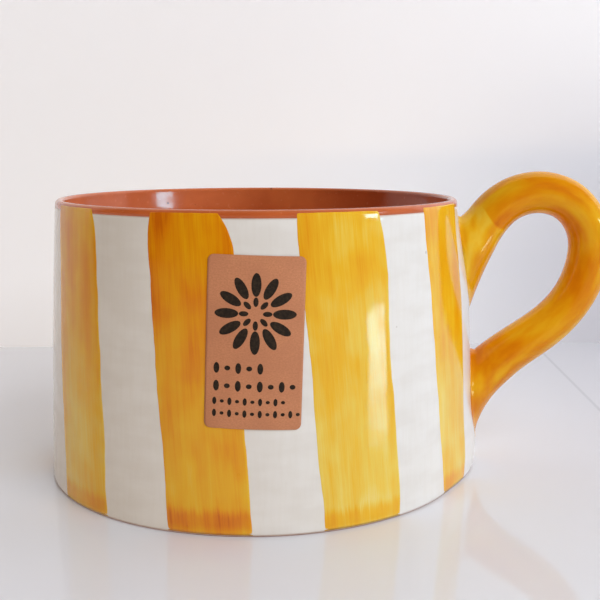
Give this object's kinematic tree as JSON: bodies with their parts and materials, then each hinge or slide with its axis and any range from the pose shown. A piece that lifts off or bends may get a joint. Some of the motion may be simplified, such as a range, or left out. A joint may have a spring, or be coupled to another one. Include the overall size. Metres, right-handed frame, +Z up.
{
  "type": "mug",
  "caption": "Low, wide terracotta mug with a coil ear handle, white glaze with upright yellow brushed strokes, and a kraft paper label.",
  "frame": {"origin": "centre of the flat underside, on the vessel's axis, where the mug stands on the table", "axes": "+Z up along the vessel's axis, +X from the axis out through the handle, +Y to the left when looking out along the handle; the label faces -Y"},
  "size_m": [0.1469, 0.1081, 0.0765],
  "materials": {
    "terracotta": "bare fired red clay",
    "clear_glaze": "clear gloss glaze over red clay",
    "white_glaze": "gloss white glaze",
    "yellow_glaze": "brushed yellow glaze, amber where it pools",
    "kraft_paper": "matt printed kraft paper"
  },
  "bodies": {
    "root": {"body": "terracotta", "clear_liner_glaze": "clear_glaze", "white_glaze": "white_glaze", "handle": "terracotta", "handle_glaze": "yellow_glaze", "upper_handle_joint": "yellow_glaze", "lower_handle_joint": "yellow_glaze", "stroke_1": "yellow_glaze", "stroke_2": "yellow_glaze", "stroke_3": "yellow_glaze", "stroke_4": "yellow_glaze", "stroke_5": "yellow_glaze", "stroke_6": "yellow_glaze", "stroke_7": "yellow_glaze", "stroke_8": "yellow_glaze", "stroke_9": "yellow_glaze", "paper_label": "kraft_paper"}
  },
  "joints": []
}
